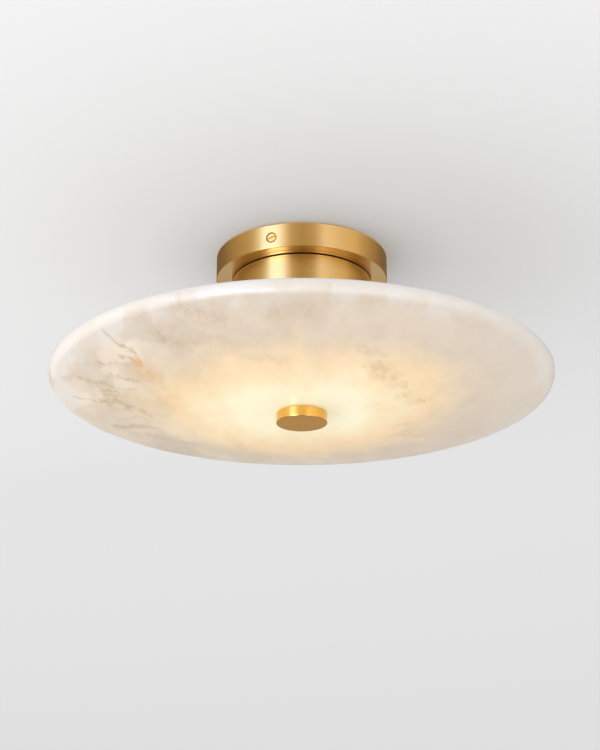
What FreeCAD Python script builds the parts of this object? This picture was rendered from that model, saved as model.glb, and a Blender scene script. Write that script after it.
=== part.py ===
import FreeCAD, Part
import math
import os

# A ceiling light: a shallow alabaster dish hung from a brass drum and canopy.
# Millimetres, Z up. The ceiling is the plane z = 0 and the light hangs below it, about the Z axis.
# The front is -Y. A bearing is an angle from the front, positive towards +X.

# ---- Driving dimensions -------------------------------------------------------------------

# Threads and plays
m5_r, m5_head_r, m5_head_h = 2.5, 4.25, 3.3
m4_r, m4_head_r, m4_head_h = 2.0, 3.6, 2.4
m3_r, m3_head_r, m3_head_h = 1.5, 2.7, 1.8
rod_r = 5.0                  # fine thread of 10 mm, pitch 1 mm
thread_play = 0.05           # radial, between a thread and its tapped hole
hole_play = 0.3              # radial, between a screw and its clearance hole
turning_play = 0.05          # radial, between parts that turn on one another
slip_play = 0.2              # radial, between parts that are slipped together
blind_room = 0.5             # left past the end of a screw or pin in a blind hole
slot_w_share, slot_depth_share, screw_bevel_share = 0.28, 0.45, 0.1   # of a head's radius, height, height
pick_room = 0.01             # how near an edge lies to the place that picks it for a fillet

# Ceiling plate, which carries everything
ceiling_plate_t = 2.0
ceiling_plate_play = 2.0     # radial, to the canopy's wall
ear_w, ear_t, ear_foot, ear_round = 18.0, 3.0, 15.0, 4.0
ear_below_screw = 6.0
slot_spacing, slot_length, slot_half_w = 80.0, 20.0, 2.6
cable_bore_r = 6.0
cable_bush_wall, cable_bush_l = 3.0, 5.0
cable_bush_flange_w, cable_bush_flange_t = 2.5, 1.5
earth_screw_y = 40.0
earth_washer_r, earth_washer_t = 5.0, 1.0

# Canopy
canopy_r, canopy_h, canopy_wall = 81.5, 24.0, 5.0
canopy_flange_t = 3.0
ceiling_gap = 0.6
edge_chamfer = 0.6
canopy_screw_bearing, canopy_screw_drop = -20.0, 13.5
canopy_recess_play = 0.9     # radial, dark ring round each screw head
canopy_screw_l, canopy_screw_sink = 9.5, 0.1
canopy_slot_turns = (16.0, -35.0, 70.0)
side_screws = 3

# Neck drum
neck_r, neck_h, neck_wall = 66.6, 34.9, 3.0
shadow_gap = 3.1
shadow_inset = 3.2           # how far the shadow gap goes in from the drum's face
neck_lip_t, neck_lip_w = 4.0, 12.0
neck_screw_bearing, neck_screw_count = 0.0, 3
lug_w, lug_h, lug_reach, lug_root = 14.0, 8.0, 12.0, 1.5
lug_bearing, lugs = 0.0, 3

# Lamp plate and hanger rod
lamp_plate_t = 2.0
plate_screw_l = 9.0
nut_flats, nut_t = 16.0, 5.0
rod_washer_r, rod_washer_t = 9.0, 1.2
rod_above_nut = 0.8
rod_bevel = 0.6

# Lamps
lamps = 3
lamp_bearing = 60.0
lamp_drop = 34.0             # lamp axis below the lamp plate
bracket_r = 24.0             # inner face of the upright leg
bracket_w, bracket_t, bracket_foot = 16.0, 1.5, 24.0
bracket_below_lamp = 10.0
foot_screw_1, foot_screw_2 = 8.0, 18.0
holder_r, holder_l, holder_flat, holder_bevel = 9.0, 22.0, 7.8, 1.0
holder_screw_x = 5.0
holder_screw_depth = 6.0
pin_x, pin_w, pin_h, pin_l = 4.5, 1.1, 3.0, 12.0
socket_play = 0.15
lamp_base_r, lamp_base_l = 7.4, 12.0
grip_r, grip_start, grip_end, grip_slope = 6.6, 3.0, 9.6, 1.2
bulb_r, bulb_l, bulb_neck_r = 8.0, 38.0, 6.6

# Wiring
lead_r, lead_ring_r = 1.6, 15.5
lead_rise = 10.0             # where the leads run, above the lamp plate
lead_play = 0.05             # radial, between a lead and its grommet
lead_bend_low, lead_bend_high = 7.0, 10.0
grommet_wall, grommet_lip, grommet_lip_t = 1.2, 1.0, 1.0
leg_hole_play = 0.7
block_depth, block_h = 16.0, 14.0
block_end = 6.5              # past the outer poles
block_lug_gap = 6.2
block_groove_w, block_foot_t = 1.5, 2.5
wire_hole_r, wire_hole_l = 2.0, 6.0
terminal_screw_r, terminal_screw_h = 1.7, 1.2
terminal_well_play, terminal_well_depth = 0.5, 1.8
terminal_slot_w, terminal_slot_depth = 0.6, 0.5
terminal_rows = (0.25, 0.75)   # shares of the block's depth

# Alabaster bowl
bowl_r = 233.2
bowl_rim_drop = 124.0        # ceiling to rim
bowl_edge_h = 11.0           # rim to where the underside would meet the side
bowl_sag = 21.5              # depth of the underside below that
rim_round, edge_round = 3.0, 8.0
stone_t = 12.0
rim_w, rim_bevel = 14.0, 4.0
bowl_seat_r = 22.0
floor_margin = 2.0
spigot_r, spigot_l = 8.0, 9.0
bowl_hole_play = 1.2         # radial, room for the bush round the spigot

# Clamp above the bowl, and the pads
upper_disc_r, upper_disc_t = 25.0, 2.0
upper_pad_t, lower_pad_t = 1.5, 0.6
bush_flange_w, bush_flange_t = 6.0, 1.2
bush_end_gap = 0.5

# Finial
finial_r, finial_t = 23.6, 9.6
finial_chamfer = 0.5
finial_floor_t = 2.6
rod_end_gap = 0.6
lower_pad_inset = 3.0

# ---- Levels and radii that follow -----------------------------------------------------------

V = FreeCAD.Vector
AXIS_Z = V(0, 0, 1)
ORIGIN = V(0, 0, 0)

canopy_bottom = -canopy_h
canopy_inner_r = canopy_r - canopy_wall
ceiling_plate_r = canopy_inner_r - ceiling_plate_play
canopy_recess_r = m5_head_r + canopy_recess_play
canopy_screw_seat = canopy_r - m5_head_h - canopy_screw_sink
cable_bush_r = cable_bore_r + cable_bush_wall

neck_top = canopy_bottom - shadow_gap
neck_bottom = neck_top - neck_h
neck_inner_r = neck_r - neck_wall
shadow_r = neck_r - shadow_inset
lip_inner_r = neck_inner_r - neck_lip_w
neck_screw_r = (lip_inner_r + shadow_r) / 2
lug_inner_r = neck_inner_r - lug_reach
lug_screw_r = (lug_inner_r + neck_inner_r) / 2

lamp_plate_top = neck_bottom + lamp_plate_t
lamp_plate_r = neck_inner_r - slip_play
rod_top = lamp_plate_top + rod_washer_t + nut_t + rod_above_nut

lamp_z = neck_bottom - lamp_drop
lead_z = lamp_plate_top + lead_rise
holder_back = bracket_r + bracket_t
holder_front = holder_back + holder_l
grommet_bore_r = lead_r + lead_play
grommet_r = grommet_bore_r + grommet_wall
pole_pitch = lead_ring_r * math.sin(math.radians(lamp_bearing))
block_l = 2 * (pole_pitch + block_end)
block_far = lug_inner_r - block_lug_gap
block_front = block_far - block_depth

rim_z = -bowl_rim_drop
springing_z = rim_z - bowl_edge_h
pole_z = springing_z - bowl_sag
dome_r = (bowl_r ** 2 + bowl_sag ** 2) / (2 * bowl_sag)
dome_z = pole_z + dome_r
bowl_hole_r = spigot_r + bowl_hole_play
floor_r = upper_disc_r + floor_margin


def on_dome(sphere_r, r):
    """Height of a sphere about the dome's centre, at distance r from the axis."""
    return dome_z - math.sqrt(sphere_r ** 2 - r ** 2)


seat_z = on_dome(dome_r, bowl_seat_r)
floor_z = on_dome(dome_r - stone_t, floor_r)
upper_disc_bottom = floor_z + upper_pad_t
upper_disc_top = upper_disc_bottom + upper_disc_t
finial_top = seat_z - lower_pad_t
finial_bottom = finial_top - finial_t
spigot_top = finial_top + spigot_l
rod_bottom = finial_bottom + finial_floor_t + rod_end_gap

# ---- Shapes used by several pieces ------------------------------------------------------------


def cylinder(r, bottom, top, x=0.0, y=0.0):
    """Upright cylinder."""
    return Part.makeCylinder(r, top - bottom, V(x, y, bottom), AXIS_Z)


def ring(outer, inner, bottom, top, x=0.0, y=0.0):
    """Upright tube or washer."""
    return cylinder(outer, bottom, top, x, y).cut(cylinder(inner, bottom, top, x, y))


def bar_to_front(r, near, far, x=0.0, z=0.0):
    """Cylinder that points to the front, from y = -near to y = -far."""
    return Part.makeCylinder(r, far - near, V(x, -near, z), V(0, -1, 0))


def block(width, near, far, bottom, top, x=0.0):
    """Box centred on x, from y = -near to y = -far."""
    return Part.makeBox(width, far - near, top - bottom, V(x - width / 2, -far, bottom))


def bearings(first, count):
    """Evenly spaced bearings."""
    return [first + 360.0 * i / count for i in range(count)]


def turned_to(shape, bearing):
    """A shape modelled at the front, carried round the axis to a bearing."""
    shape = shape.copy()
    shape.rotate(ORIGIN, AXIS_Z, bearing)
    return shape


def all_round(shape, first, count):
    """Copies of a front shape at evenly spaced bearings."""
    return [turned_to(shape, b) for b in bearings(first, count)]


def polyline(points):
    """Straight edges through (r, z) points in the XZ plane."""
    vectors = [V(r, 0, z) for r, z in points]
    return [Part.LineSegment(a, b).toShape() for a, b in zip(vectors, vectors[1:])]


def arc(start, middle, end):
    """Arc edge through three (r, z) points in the XZ plane."""
    return Part.Arc(*(V(r, 0, z) for r, z in (start, middle, end))).toShape()


def revolved(edges):
    """Solid of revolution about Z of a closed outline in the XZ plane."""
    face = Part.Face(Part.Wire(edges))
    solid = face.revolve(ORIGIN, AXIS_Z, 360)
    return solid if solid.Volume > 0 else solid.reversed()


def turned(points):
    """Solid of revolution of a closed outline with straight edges."""
    return revolved(polyline(points + points[:1]))


def screw(thread, head, head_h, shank_l, turn=0.0):
    """Slotted screw along Z: its seat is at z = 0, its head above and its shank below."""
    bevel = head_h * screw_bevel_share
    solid = turned([(0, head_h), (head - bevel, head_h), (head, head_h - bevel), (head, 0), (thread, 0),
                    (thread, bevel - shank_l), (thread - bevel, -shank_l), (0, -shank_l)])
    slot_w = head * slot_w_share
    slot_d = head_h * slot_depth_share
    slot = Part.makeBox(3 * head, slot_w, slot_d, V(-1.5 * head, -slot_w / 2, head_h - slot_d))
    solid = solid.cut(slot)
    solid.rotate(ORIGIN, AXIS_Z, turn)
    return solid


def pointing_down(shape, x, y, z):
    """A shape made along +Z, turned over and moved."""
    shape = shape.copy()
    shape.rotate(ORIGIN, V(1, 0, 0), 180)
    shape.translate(V(x, y, z))
    return shape


def pointing_out(shape, r, z):
    """A shape made along +Z, turned to point to the front at distance r."""
    shape = shape.copy()
    shape.rotate(ORIGIN, V(1, 0, 0), 90)
    shape.translate(V(0, -r, z))
    return shape


def hex_nut(bottom):
    """Thin hexagon nut on the hanger rod, with its corners turned off."""
    corner = nut_flats / math.sqrt(3)
    corners = [V(corner * math.cos(math.radians(a)), corner * math.sin(math.radians(a)), bottom)
               for a in range(0, 361, 60)]
    prism = Part.Face(Part.makePolygon(corners)).extrude(V(0, 0, nut_t))
    bevel = corner - nut_flats / 2
    top = bottom + nut_t
    blank = turned([(0, bottom), (corner - bevel, bottom), (corner, bottom + bevel / 2),
                    (corner, top - bevel / 2), (corner - bevel, top), (0, top)])
    return prism.common(blank).cut(cylinder(rod_r + thread_play, bottom, top))


def oval_bar(width, height, near, far, x, z):
    """Bar of oval section that points to the front."""
    straight = height - width
    ends = [bar_to_front(width / 2, near, far, x, z + s * straight / 2) for s in (-1, 1)]
    middle = block(width, near, far, z - straight / 2, z + straight / 2, x)
    return middle.fuse(ends).removeSplitter()


# ---- Ceiling plate and what is on it ------------------------------------------------------------


def ceiling_plate():
    """Steel disc with two slots and a cable hole."""
    plate = cylinder(ceiling_plate_r, -ceiling_plate_t, 0)
    half = slot_length / 2 - slot_half_w
    for side in (-1, 1):
        x = side * slot_spacing / 2
        for end in (-half, half):
            plate = plate.cut(cylinder(slot_half_w, -ceiling_plate_t, 0, x + end))
        plate = plate.cut(block(2 * half, -slot_half_w, slot_half_w, -ceiling_plate_t, 0, x))
    plate = plate.cut(cylinder(cable_bush_r + thread_play, -ceiling_plate_t, 0))
    return plate.cut(cylinder(m4_r + thread_play, -ceiling_plate_t, 0, 0, earth_screw_y))


def plate_ears():
    """Three folded steel ears welded under the ceiling plate, tapped for the side screws."""
    top = -ceiling_plate_t
    low = -canopy_screw_drop - ear_below_screw
    inner = ceiling_plate_r - ear_t
    foot = block(ear_w, ceiling_plate_r - ear_foot, ceiling_plate_r, top - ear_t, top)
    leg = block(ear_w, inner, ceiling_plate_r, low, top)
    corners = [e for e in leg.Edges if abs(e.CenterOfMass.z - low) < pick_room
               and e.Length < ear_t + pick_room]
    leg = leg.makeFillet(ear_round, corners)
    # The ears' corners stay inside the disc's edge.
    ear = foot.fuse(leg).removeSplitter().common(cylinder(ceiling_plate_r, low, top))
    ear = ear.cut(bar_to_front(m5_r + thread_play, inner, ceiling_plate_r, 0, -canopy_screw_drop))
    return Part.makeCompound(all_round(ear, canopy_screw_bearing, side_screws))


def cable_bush():
    """Rubber bush that lines the cable hole."""
    top_of_flange = -ceiling_plate_t
    low_of_flange = top_of_flange - cable_bush_flange_t
    flange_r = cable_bush_r + cable_bush_flange_w
    return turned([(cable_bore_r, 0), (cable_bush_r, 0), (cable_bush_r, top_of_flange),
                   (flange_r, top_of_flange), (flange_r, low_of_flange), (cable_bush_r, low_of_flange),
                   (cable_bush_r, -cable_bush_l), (cable_bore_r, -cable_bush_l)])


def earth_screw():
    """Screw for the earth wire."""
    shank = ceiling_plate_t + earth_washer_t
    return pointing_down(screw(m4_r, m4_head_r, m4_head_h, shank), 0, earth_screw_y, -shank)


def earth_washer():
    """Washer that grips the earth wire."""
    bottom = -ceiling_plate_t - earth_washer_t
    return ring(earth_washer_r, m4_r + thread_play, bottom, -ceiling_plate_t, 0, earth_screw_y)


# ---- Canopy ------------------------------------------------------------------------------------


def canopy():
    """Turned brass ring with a flat underside, and a recess for each side screw."""
    shell = turned([(canopy_inner_r, -ceiling_gap), (canopy_r - edge_chamfer, -ceiling_gap),
                    (canopy_r, -ceiling_gap - edge_chamfer), (canopy_r, canopy_bottom + edge_chamfer),
                    (canopy_r - edge_chamfer, canopy_bottom), (lip_inner_r, canopy_bottom),
                    (lip_inner_r, canopy_bottom + canopy_flange_t),
                    (canopy_inner_r, canopy_bottom + canopy_flange_t)])
    z = -canopy_screw_drop
    recess = bar_to_front(canopy_recess_r, canopy_screw_seat, canopy_r + canopy_wall, 0, z)
    hole = bar_to_front(m5_r + hole_play, canopy_inner_r - canopy_wall, canopy_r, 0, z)
    shell = shell.cut(all_round(recess.fuse(hole), canopy_screw_bearing, side_screws))
    flange_hole = cylinder(m4_r + hole_play, canopy_bottom, canopy_bottom + canopy_flange_t, 0, -neck_screw_r)
    return shell.cut(all_round(flange_hole, neck_screw_bearing, neck_screw_count))


def canopy_screws():
    """Three slotted cheese-head screws that join the canopy to the ceiling plate's ears."""
    placed = []
    for bearing, turn in zip(bearings(canopy_screw_bearing, side_screws), canopy_slot_turns):
        one = screw(m5_r, m5_head_r, m5_head_h, canopy_screw_l, turn)
        placed.append(turned_to(pointing_out(one, canopy_screw_seat, -canopy_screw_drop), bearing))
    return Part.makeCompound(placed)


# ---- Neck drum -----------------------------------------------------------------------------------


def neck_drum():
    """Turned brass drum. A step at its top leaves the dark gap under the canopy."""
    drum = turned([(lip_inner_r, canopy_bottom), (shadow_r, canopy_bottom), (shadow_r, neck_top),
                   (neck_r, neck_top), (neck_r, neck_bottom + edge_chamfer),
                   (neck_r - edge_chamfer, neck_bottom), (neck_inner_r, neck_bottom),
                   (neck_inner_r, neck_top - neck_lip_t), (lip_inner_r, neck_top - neck_lip_t)])
    lug = block(lug_w, lug_inner_r, neck_inner_r + lug_root, lamp_plate_top, lamp_plate_top + lug_h)
    drum = drum.fuse(all_round(lug, lug_bearing, lugs)).removeSplitter()
    lug_hole = cylinder(m4_r + thread_play, lamp_plate_top, lamp_plate_top + lug_h, 0, -lug_screw_r)
    drum = drum.cut(all_round(lug_hole, lug_bearing, lugs))
    lip_hole = cylinder(m4_r + thread_play, neck_top - neck_lip_t, canopy_bottom, 0, -neck_screw_r)
    return drum.cut(all_round(lip_hole, neck_screw_bearing, neck_screw_count))


def neck_screws():
    """Three screws inside the canopy that hold the drum to it."""
    top = canopy_bottom + canopy_flange_t
    one = screw(m4_r, m4_head_r, m4_head_h, canopy_flange_t + shadow_gap + neck_lip_t)
    one.translate(V(0, -neck_screw_r, top))
    return Part.makeCompound(all_round(one, neck_screw_bearing, neck_screw_count))


# ---- Lamp plate and hanger rod ---------------------------------------------------------------------


def lamp_plate():
    """Disc that closes the drum and carries the lamps and the rod."""
    low, high = neck_bottom, lamp_plate_top
    plate = cylinder(lamp_plate_r, low, high).cut(cylinder(rod_r + thread_play, low, high))
    lug_hole = cylinder(m4_r + hole_play, low, high, 0, -lug_screw_r)
    plate = plate.cut(all_round(lug_hole, lug_bearing, lugs))
    for reach in (foot_screw_1, foot_screw_2):
        tapped = cylinder(m3_r + thread_play, low, high, 0, -bracket_r - reach)
        plate = plate.cut(all_round(tapped, lamp_bearing, lamps))
    lead_hole = cylinder(grommet_r, low, high, 0, -lead_ring_r)
    return plate.cut(all_round(lead_hole, lamp_bearing, lamps))


def plate_screws():
    """Three screws that hold the lamp plate to the drum's lugs."""
    one = pointing_down(screw(m4_r, m4_head_r, m4_head_h, plate_screw_l), 0, -lug_screw_r, neck_bottom)
    return Part.makeCompound(all_round(one, lug_bearing, lugs))


def hanger_rod():
    """Threaded rod from the lamp plate down to the finial."""
    c = rod_bevel
    return turned([(0, rod_top), (rod_r - c, rod_top), (rod_r, rod_top - c),
                   (rod_r, rod_bottom + c), (rod_r - c, rod_bottom), (0, rod_bottom)])


def rod_washers():
    """Two washers, above and below the lamp plate."""
    bore = rod_r + thread_play
    return Part.makeCompound([
        ring(rod_washer_r, bore, lamp_plate_top, lamp_plate_top + rod_washer_t),
        ring(rod_washer_r, bore, neck_bottom - rod_washer_t, neck_bottom)])


# ---- Lamps -------------------------------------------------------------------------------------------


def lamp_bracket():
    """Folded steel bracket: a foot under the lamp plate and an upright leg."""
    foot_low = neck_bottom - bracket_t
    low = lamp_z - bracket_below_lamp
    foot = block(bracket_w, bracket_r, bracket_r + bracket_foot, foot_low, neck_bottom)
    leg = block(bracket_w, bracket_r, holder_back, low, neck_bottom)
    bracket = foot.fuse(leg).removeSplitter()
    bends = [e for e in bracket.Edges if e.Length > bracket_w - pick_room
             and abs(e.CenterOfMass.y + bracket_r) < pick_room
             and abs(e.CenterOfMass.z - neck_bottom) < pick_room]
    bracket = bracket.makeFillet(bracket_t, bends)
    for reach in (foot_screw_1, foot_screw_2):
        bracket = bracket.cut(cylinder(m3_r + hole_play, foot_low, neck_bottom, 0, -bracket_r - reach))
    bracket = bracket.cut(bar_to_front(lead_r + leg_hole_play, bracket_r, holder_back, 0, lamp_z))
    for side in (-1, 1):
        hole = bar_to_front(m3_r + hole_play, bracket_r, holder_back, side * holder_screw_x, lamp_z)
        bracket = bracket.cut(hole)
    return bracket


def bracket_screws():
    """Six screws that hold the brackets to the lamp plate."""
    placed = []
    for reach in (foot_screw_1, foot_screw_2):
        one = screw(m3_r, m3_head_r, m3_head_h, bracket_t + lamp_plate_t)
        one = pointing_down(one, 0, -bracket_r - reach, neck_bottom - bracket_t)
        placed += all_round(one, lamp_bearing, lamps)
    return Part.makeCompound(placed)


def holder_screws():
    """Six screws that hold the lampholders to the brackets."""
    placed = []
    for side in (-1, 1):
        one = screw(m3_r, m3_head_r, m3_head_h, bracket_t + holder_screw_depth)
        one.rotate(ORIGIN, V(1, 0, 0), -90)
        one.translate(V(side * holder_screw_x, -bracket_r, lamp_z))
        placed += all_round(one, lamp_bearing, lamps)
    return Part.makeCompound(placed)


def lampholder():
    """Ceramic holder with flats, two screw holes in its back and two sockets in its face."""
    c = holder_bevel
    body = turned([(0, 0), (holder_r, 0), (holder_r, holder_l - c), (holder_r - c, holder_l), (0, holder_l)])
    body = pointing_out(body, holder_back, lamp_z)
    flats = block(2 * holder_flat, holder_back, holder_front, lamp_z - holder_r, lamp_z + holder_r)
    body = body.common(flats)
    for side in (-1, 1):
        tapped = bar_to_front(m3_r + thread_play, holder_back, holder_back + holder_screw_depth + blind_room,
                              side * holder_screw_x, lamp_z)
        socket = oval_bar(pin_w + 2 * socket_play, pin_h + 2 * socket_play,
                          holder_front - pin_l - blind_room, holder_front, side * pin_x, lamp_z)
        body = body.cut(tapped).cut(socket)
    return body


def lamp_pins():
    """The lamp's two contact pins."""
    return Part.makeCompound([oval_bar(pin_w, pin_h, holder_front - pin_l, holder_front, side * pin_x, lamp_z)
                              for side in (-1, 1)])


def lamp_base():
    """Moulded base of the lamp, waisted where a thumb grips it."""
    r, length = lamp_base_r, lamp_base_l
    body = turned([(0, 0), (r, 0), (r, grip_start), (grip_r, grip_start + grip_slope),
                   (grip_r, grip_end - grip_slope), (r, grip_end), (r, length), (0, length)])
    return pointing_out(body, holder_front, lamp_z)


def lamp_bulb():
    """Frosted capsule of the lamp, with a round end."""
    straight = bulb_l - bulb_r
    shoulder = bulb_r - bulb_neck_r
    low = polyline([(0, bulb_l), (0, 0), (bulb_neck_r, 0), (bulb_r, shoulder), (bulb_r, straight)])
    diagonal = bulb_r * math.sqrt(0.5)
    dome = arc((bulb_r, straight), (diagonal, straight + diagonal), (0, bulb_l))
    return pointing_out(revolved(low + [dome]), holder_front + lamp_base_l, lamp_z)


# ---- Wiring ---------------------------------------------------------------------------------------------


def bent_tube(points, bends, r):
    """Round tube along straight runs joined by tangent arcs of the given radii."""
    edges = []
    start = points[0]
    for before, corner, after, bend in zip(points, points[1:], points[2:], bends):
        back = (before - corner).normalize()
        on = (after - corner).normalize()
        half = back.getAngle(on) / 2
        cut = bend / math.tan(half)
        first, last = corner + back * cut, corner + on * cut
        middle_way = (back + on).normalize()
        middle = corner + middle_way * (bend / math.sin(half) - bend)
        edges.append(Part.LineSegment(start, first).toShape())
        edges.append(Part.Arc(first, middle, last).toShape())
        start = last
    edges.append(Part.LineSegment(start, points[-1]).toShape())
    section = Part.Wire(Part.makeCircle(r, points[0], points[1] - points[0]))
    return Part.Wire(edges).makePipeShell([section], True, True)


def lamp_lead(bearing):
    """Lead from the back of a lampholder, up through the lamp plate to the terminal block."""
    x = lead_ring_r * math.sin(math.radians(bearing))
    y = -lead_ring_r * math.cos(math.radians(bearing))
    out = holder_back / lead_ring_r
    points = [V(x * out, y * out, lamp_z), V(x, y, lamp_z), V(x, y, lead_z), V(x, -block_front, lead_z)]
    return bent_tube(points, (lead_bend_low, lead_bend_high), lead_r)


def lead_grommets():
    """Three grommets in the lamp plate, one round each lead."""
    low, high = neck_bottom, lamp_plate_top
    lip_r = grommet_r + grommet_lip
    one = turned([(grommet_bore_r, low - grommet_lip_t), (lip_r, low - grommet_lip_t), (lip_r, low),
                  (grommet_r, low), (grommet_r, high), (lip_r, high), (lip_r, high + grommet_lip_t),
                  (grommet_bore_r, high + grommet_lip_t)])
    one.translate(V(0, -lead_ring_r, 0))
    return Part.makeCompound(all_round(one, lamp_bearing, lamps))


def poles():
    """The x of each pole of the terminal block."""
    return (-pole_pitch, 0.0, pole_pitch)


def terminal_block():
    """Three-pole block on the lamp plate, with wire holes at its front and screw wells on top."""
    low = lamp_plate_top
    top = low + block_h
    body = block(block_l, block_front, block_far, low, top)
    for x in (-pole_pitch / 2, pole_pitch / 2):
        body = body.cut(block(block_groove_w, block_front, block_far, low + block_foot_t, top, x))
    for x in poles():
        body = body.cut(bar_to_front(wire_hole_r, block_far - wire_hole_l, block_far, x, lead_z))
        for y in terminal_screw_rows():
            well = cylinder(terminal_screw_r + terminal_well_play, top - terminal_well_depth, top, x, y)
            body = body.cut(well)
    return body


def terminal_screw_rows():
    """The y of each row of terminal screws."""
    return [-(block_front + block_depth * share) for share in terminal_rows]


def terminal_screws():
    """Six clamping screws, two to a pole."""
    bottom = lamp_plate_top + block_h - terminal_well_depth
    placed = []
    for x in poles():
        for y in terminal_screw_rows():
            head = cylinder(terminal_screw_r, bottom, bottom + terminal_screw_h, x, y)
            slot = block(4 * terminal_screw_r, -y - terminal_slot_w / 2, -y + terminal_slot_w / 2,
                         bottom + terminal_screw_h - terminal_slot_depth, bottom + terminal_screw_h, x)
            placed.append(head.cut(slot))
    return Part.makeCompound(placed)


# ---- Alabaster bowl and what holds it -----------------------------------------------------------


def alabaster_bowl():
    """Dish cut from one stone: a shallow dome below, a rounded edge and a hollow above."""
    # The edge's round touches the dome from inside, so their centres and the touching point are in line.
    round_centre_r = bowl_r - edge_round
    round_centre_z = on_dome(dome_r - edge_round, round_centre_r)
    lean = math.atan2(round_centre_r, dome_z - round_centre_z)

    def on_round(angle):
        return (round_centre_r + edge_round * math.sin(angle), round_centre_z - edge_round * math.cos(angle))

    touch = on_round(lean)
    middle_r = (bowl_seat_r + touch[0]) / 2
    under = arc((bowl_seat_r, seat_z), (middle_r, on_dome(dome_r, middle_r)), touch)
    edge = arc(touch, on_round((lean + math.pi / 2) / 2), (bowl_r, round_centre_z))
    corner = rim_round * (1 - math.sqrt(0.5))
    top_round = arc((bowl_r, rim_z - rim_round), (bowl_r - corner, rim_z - corner),
                    (bowl_r - rim_round, rim_z))
    hollow_r = dome_r - stone_t
    hollow_edge = bowl_r - rim_w - rim_bevel
    middle_r = (floor_r + hollow_edge) / 2
    hollow = arc((hollow_edge, on_dome(hollow_r, hollow_edge)), (middle_r, on_dome(hollow_r, middle_r)),
                 (floor_r, floor_z))
    edges = polyline([(bowl_hole_r, floor_z), (bowl_hole_r, seat_z), (bowl_seat_r, seat_z)])
    edges += [under, edge]
    edges += polyline([(bowl_r, round_centre_z), (bowl_r, rim_z - rim_round)])
    edges += [top_round]
    edges += polyline([(bowl_r - rim_round, rim_z), (bowl_r - rim_w, rim_z),
                       (hollow_edge, on_dome(hollow_r, hollow_edge))])
    edges += [hollow]
    edges += polyline([(floor_r, floor_z), (bowl_hole_r, floor_z)])
    return revolved(edges)


def bowl_bush():
    """Nylon bush that keeps the finial's spigot off the stone."""
    inner = spigot_r + turning_play
    outer = bowl_hole_r - turning_play
    flange = bowl_hole_r + bush_flange_w
    return turned([(inner, seat_z + bush_end_gap), (outer, seat_z + bush_end_gap), (outer, floor_z),
                   (flange, floor_z), (flange, floor_z + bush_flange_t), (inner, floor_z + bush_flange_t)])


def upper_pad():
    """Felt ring between the stone and the upper disc."""
    return ring(upper_disc_r, bowl_hole_r + bush_flange_w + slip_play, floor_z, upper_disc_bottom)


def upper_disc():
    """Steel disc that the stone is clamped against."""
    return ring(upper_disc_r, rod_r + thread_play, upper_disc_bottom, upper_disc_top)


def lower_pad():
    """Thin felt washer between the stone and the finial."""
    return ring(finial_r - lower_pad_inset, spigot_r + slip_play, finial_top, seat_z)


def finial():
    """Turned brass disc with a tapped spigot, which carries the bowl."""
    c = finial_chamfer
    body = turned([(0, finial_bottom), (finial_r - c, finial_bottom), (finial_r, finial_bottom + c),
                   (finial_r, finial_top - c), (finial_r - c, finial_top), (spigot_r, finial_top),
                   (spigot_r, spigot_top - c), (spigot_r - c, spigot_top), (0, spigot_top)])
    return body.cut(cylinder(rod_r + turning_play, finial_bottom + finial_floor_t, spigot_top))


# ---- Every piece, by name -----------------------------------------------------------------------

pieces = {
    "ceiling_plate": ceiling_plate(),
    "plate_ears": plate_ears(),
    "cable_bush": cable_bush(),
    "earth_screw": earth_screw(),
    "earth_washer": earth_washer(),
    "canopy": canopy(),
    "canopy_screws": canopy_screws(),
    "neck_drum": neck_drum(),
    "neck_screws": neck_screws(),
    "lamp_plate": lamp_plate(),
    "plate_screws": plate_screws(),
    "hanger_rod": hanger_rod(),
    "rod_washers": rod_washers(),
    "rod_nut_upper": hex_nut(lamp_plate_top + rod_washer_t),
    "rod_nut_lower": hex_nut(neck_bottom - rod_washer_t - nut_t),
    "bracket_screws": bracket_screws(),
    "holder_screws": holder_screws(),
    "lead_grommets": lead_grommets(),
    "terminal_block": terminal_block(),
    "terminal_screws": terminal_screws(),
    "bowl_stop_nut": hex_nut(upper_disc_top),
    "upper_disc": upper_disc(),
    "upper_pad": upper_pad(),
    "alabaster_bowl": alabaster_bowl(),
    "bowl_bush": bowl_bush(),
    "lower_pad": lower_pad(),
    "finial": finial(),
}
for number, bearing in enumerate(bearings(lamp_bearing, lamps), 1):
    pieces[f"lamp_bracket_{number}"] = turned_to(lamp_bracket(), bearing)
    pieces[f"lampholder_{number}"] = turned_to(lampholder(), bearing)
    pieces[f"lamp_pins_{number}"] = turned_to(lamp_pins(), bearing)
    pieces[f"lamp_base_{number}"] = turned_to(lamp_base(), bearing)
    pieces[f"lamp_bulb_{number}"] = turned_to(lamp_bulb(), bearing)
    pieces[f"lamp_lead_{number}"] = lamp_lead(bearing)

os.makedirs("parts", exist_ok=True)
for name, shape in pieces.items():
    shape.exportStep(f"parts/{name}.step")
    print(f"{name}: {len(shape.Solids)} solids, {shape.Volume / 1000:.3f} cm3, valid {shape.isValid()}")
print(f"finial thread engaged over {spigot_top - rod_bottom:.2f} mm, its underside at z {finial_bottom:.2f}")
print(f"bowl floor at z {floor_z:.2f}, seat at z {seat_z:.2f}, dome radius {dome_r:.1f}")
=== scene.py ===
import math

import bpy
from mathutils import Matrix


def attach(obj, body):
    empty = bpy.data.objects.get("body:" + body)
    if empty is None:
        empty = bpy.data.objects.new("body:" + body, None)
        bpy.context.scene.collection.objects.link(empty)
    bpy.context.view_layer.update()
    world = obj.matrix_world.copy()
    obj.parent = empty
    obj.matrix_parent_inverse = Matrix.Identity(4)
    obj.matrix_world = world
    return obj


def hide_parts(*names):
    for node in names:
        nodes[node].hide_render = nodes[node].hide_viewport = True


# An alabaster dish ceiling light in brushed brass, dressed over its CAD frame.
# Lengths in the code are millimetres, turned to metres by MM. Z is up, the front is -Y.

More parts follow.
